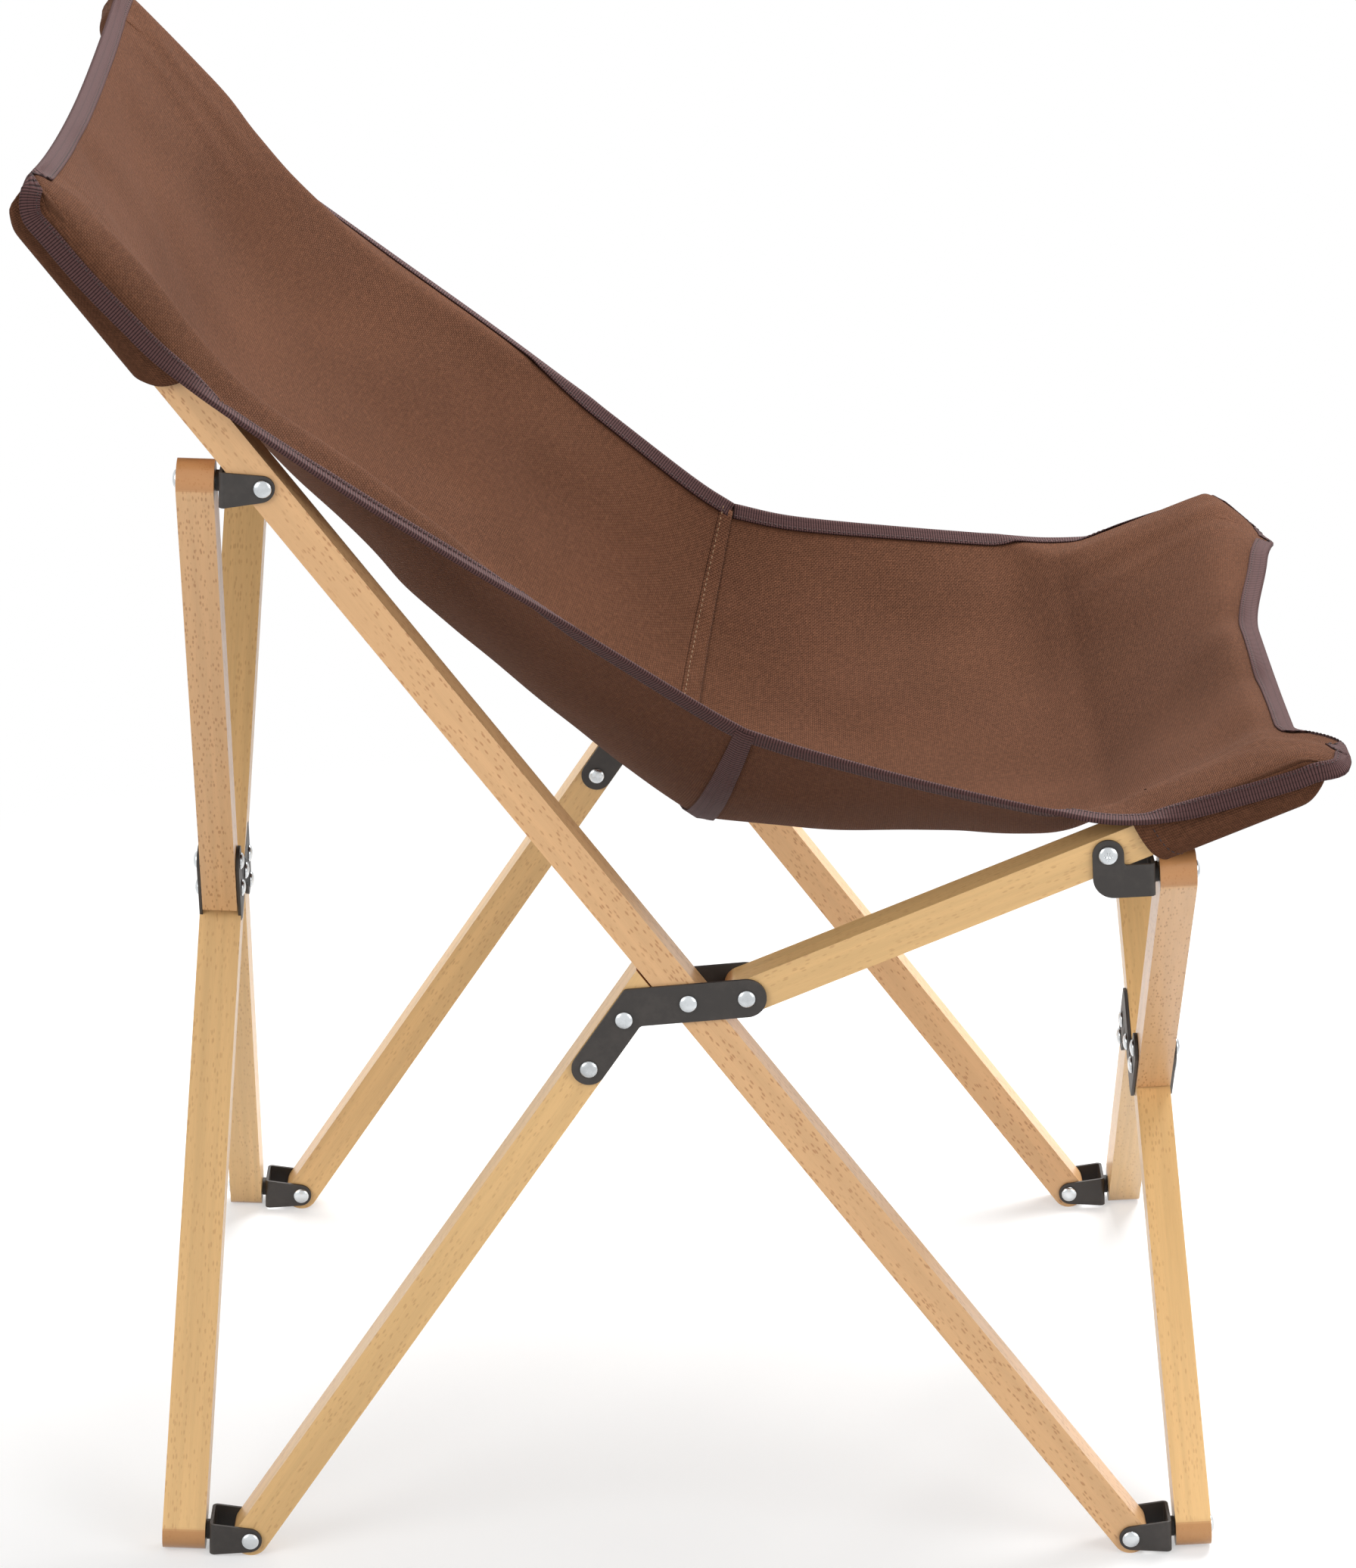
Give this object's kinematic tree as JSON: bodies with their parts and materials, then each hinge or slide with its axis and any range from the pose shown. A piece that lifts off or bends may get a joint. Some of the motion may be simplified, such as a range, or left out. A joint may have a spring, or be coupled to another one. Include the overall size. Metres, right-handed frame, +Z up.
{
  "type": "folding sling chair",
  "caption": "Folding camp chair with a crossed-bar beech frame, black steel brackets and a canvas sling seat hung on pockets over the bar ends.",
  "frame": {"origin": "on the floor under the middle of the whole chair", "axes": "+X is the front of the chair, +Y the sitter's left, +Z up"},
  "size_m": [0.7882, 0.6264, 0.8922],
  "materials": {
    "beech": "clear satin lacquer",
    "black_steel": "matte black",
    "zinc": "bright zinc plated",
    "canvas": "plain woven canvas"
  },
  "bodies": {
    "right_long": {"right_long_bar": "beech", "sling_back_panel": "canvas"},
    "sling_seat": {"sling_seat_panel": "canvas"},
    "left_long": {"left_long_bar": "beech"},
    "right_leg": {"right_rear_leg": "beech", "right_dogleg_plate_outer": "black_steel", "right_dogleg_plate_inner": "black_steel", "right_centre_pivot_rivet": "zinc", "right_rail_pivot_rivet": "zinc", "right_leg_rivet_upper": "zinc", "right_leg_rivet_lower": "zinc"},
    "right_seat": {"right_seat_rail": "beech"},
    "right_rear_top": {"right_rear_top_bracket": "black_steel", "right_rear_top_rivet": "zinc"},
    "right_rear_foot": {"right_rear_foot_bracket": "black_steel", "right_rear_foot_rivet": "zinc"},
    "right_front_foot": {"right_front_foot_bracket": "black_steel", "right_front_foot_rivet": "zinc"},
    "right_front_top": {"right_front_top_bracket": "black_steel", "right_front_top_rivet": "zinc"},
    "left_leg": {"left_rear_leg": "beech", "left_dogleg_plate_outer": "black_steel", "left_dogleg_plate_inner": "black_steel", "left_centre_pivot_rivet": "zinc", "left_rail_pivot_rivet": "zinc", "left_leg_rivet_upper": "zinc", "left_leg_rivet_lower": "zinc"},
    "left_seat": {"left_seat_rail": "beech"},
    "left_rear_top": {"left_rear_top_bracket": "black_steel", "left_rear_top_rivet": "zinc"},
    "left_rear_foot": {"left_rear_foot_bracket": "black_steel", "left_rear_foot_rivet": "zinc"},
    "left_front_foot": {"left_front_foot_bracket": "black_steel", "left_front_foot_rivet": "zinc"},
    "left_front_top": {"left_front_top_bracket": "black_steel", "left_front_top_rivet": "zinc"},
    "rear_split": {"rear_cross_half_upper": "beech", "rear_cross_half_lower": "beech", "rear_cross_plate_outer": "black_steel", "rear_cross_plate_inner": "black_steel", "rear_cross_pivot_rivet": "zinc", "right_rear_top_bolt": "zinc", "left_rear_foot_bolt": "zinc"},
    "rear_whole": {"rear_cross_bar": "beech", "left_rear_top_bolt": "zinc", "right_rear_foot_bolt": "zinc"},
    "front_split": {"front_cross_half_upper": "beech", "front_cross_half_lower": "beech", "front_cross_plate_outer": "black_steel", "front_cross_plate_inner": "black_steel", "front_cross_pivot_rivet": "zinc", "right_front_top_bolt": "zinc", "left_front_foot_bolt": "zinc"},
    "front_whole": {"front_cross_bar": "beech", "left_front_top_bolt": "zinc", "right_front_foot_bolt": "zinc"}
  },
  "joints": [
    {"name": "right_leg_hinge", "type": "hinge", "parent": "right_long", "child": "right_leg", "pos_m": [-0.00361, -0.263, 0.3795], "axis": [0, -1, 0], "range_deg": [0, 60]},
    {"name": "right_rail_hinge", "type": "hinge", "parent": "right_leg", "child": "right_seat", "pos_m": [0.03206, -0.263, 0.38262], "axis": [0, -1, 0], "range_deg": [0, 13.62]},
    {"name": "right_front_top_hinge", "type": "hinge", "parent": "right_seat", "child": "right_front_top", "pos_m": [0.25052, -0.263, 0.4758], "axis": [0, -1, 0], "range_deg": [-52.09, 0]},
    {"name": "front_split_hinge", "type": "hinge", "parent": "right_front_top", "child": "front_split", "pos_m": [0.29404, -0.263, 0.46062], "axis": [0.9986, 0, 0.0537], "range_deg": [-41.38, 0]},
    {"name": "front_cross_hinge", "type": "hinge", "parent": "front_split", "child": "front_whole", "pos_m": [0.30607, 0, 0.23703], "axis": [0.9986, 0, 0.0537], "range_deg": [0, 82.75]},
    {"name": "right_rear_top_hinge", "type": "hinge", "parent": "right_long", "child": "right_rear_top", "pos_m": [-0.25476, -0.263, 0.70799], "axis": [0, -1, 0], "range_deg": [0, 31.98]},
    {"name": "fold", "type": "hinge", "parent": "right_rear_top", "child": "rear_split", "pos_m": [-0.29498, -0.263, 0.70952], "axis": [-0.9993, 0, 0.038], "range_deg": [0, 30.54], "deforming": ["sling_back_panel", "sling_seat_panel"]},
    {"name": "rear_cross_hinge", "type": "hinge", "parent": "rear_split", "child": "rear_whole", "pos_m": [-0.30823, 0, 0.36117], "axis": [0.9993, 0, -0.038], "range_deg": [0, 61.09]},
    {"name": "left_rear_bolt_hinge", "type": "hinge", "parent": "rear_whole", "child": "left_rear_top", "pos_m": [-0.29498, 0.263, 0.70952], "axis": [0.9993, 0, -0.038], "range_deg": [-30.54, 0]},
    {"name": "left_rear_top_hinge", "type": "hinge", "parent": "left_rear_top", "child": "left_long", "pos_m": [-0.25476, 0.263, 0.70799], "axis": [0, -1, 0], "range_deg": [-31.98, 0]},
    {"name": "left_leg_hinge", "type": "hinge", "parent": "left_long", "child": "left_leg", "pos_m": [-0.00361, 0.263, 0.3795], "axis": [0, -1, 0], "range_deg": [0, 60]},
    {"name": "left_rail_hinge", "type": "hinge", "parent": "left_leg", "child": "left_seat", "pos_m": [0.03206, 0.263, 0.38262], "axis": [0, -1, 0], "range_deg": [0, 13.62]},
    {"name": "left_front_top_hinge", "type": "hinge", "parent": "left_seat", "child": "left_front_top", "pos_m": [0.25052, 0.263, 0.4758], "axis": [0, -1, 0], "range_deg": [-52.09, 0]},
    {"name": "left_front_foot_hinge", "type": "hinge", "parent": "left_long", "child": "left_front_foot", "pos_m": [0.27791, 0.263, 0.01129], "axis": [0, -1, 0], "range_deg": [0, 21.53]},
    {"name": "left_rear_foot_hinge", "type": "hinge", "parent": "left_leg", "child": "left_rear_foot", "pos_m": [-0.28126, 0.263, 0.01129], "axis": [0, -1, 0], "range_deg": [-28.03, 0]},
    {"name": "right_front_foot_hinge", "type": "hinge", "parent": "right_long", "child": "right_front_foot", "pos_m": [0.27791, -0.263, 0.01129], "axis": [0, -1, 0], "range_deg": [0, 21.53]},
    {"name": "right_rear_foot_hinge", "type": "hinge", "parent": "right_leg", "child": "right_rear_foot", "pos_m": [-0.28126, -0.263, 0.01129], "axis": [0, -1, 0], "range_deg": [-28.03, 0]},
    {"name": "seat_cloth_hinge", "type": "hinge", "parent": "right_long", "child": "sling_seat", "pos_m": [0.02848, -0.263, 0.42576], "axis": [0, -1, 0], "range_deg": [0, 83.2]}
  ],
  "couplings": [
    {"joint": "right_leg_hinge", "follows": "fold", "ratio": 1.9645},
    {"joint": "right_rail_hinge", "follows": "fold", "ratio": 0.44599},
    {"joint": "right_front_top_hinge", "follows": "fold", "ratio": -1.7056},
    {"joint": "front_split_hinge", "follows": "fold", "ratio": -1.3547},
    {"joint": "front_cross_hinge", "follows": "fold", "ratio": 2.7093},
    {"joint": "right_rear_top_hinge", "follows": "fold", "ratio": 1.0469},
    {"joint": "rear_cross_hinge", "follows": "fold", "ratio": 2},
    {"joint": "left_rear_bolt_hinge", "follows": "fold", "ratio": -1},
    {"joint": "left_rear_top_hinge", "follows": "fold", "ratio": -1.0469},
    {"joint": "left_leg_hinge", "follows": "fold", "ratio": 1.9645},
    {"joint": "left_rail_hinge", "follows": "fold", "ratio": 0.44599},
    {"joint": "left_front_top_hinge", "follows": "fold", "ratio": -1.7056},
    {"joint": "left_front_foot_hinge", "follows": "fold", "ratio": 0.7049},
    {"joint": "left_rear_foot_hinge", "follows": "fold", "ratio": -0.91759},
    {"joint": "right_front_foot_hinge", "follows": "fold", "ratio": 0.7049},
    {"joint": "right_rear_foot_hinge", "follows": "fold", "ratio": -0.91759},
    {"joint": "seat_cloth_hinge", "follows": "fold", "ratio": 2.7241}
  ]
}
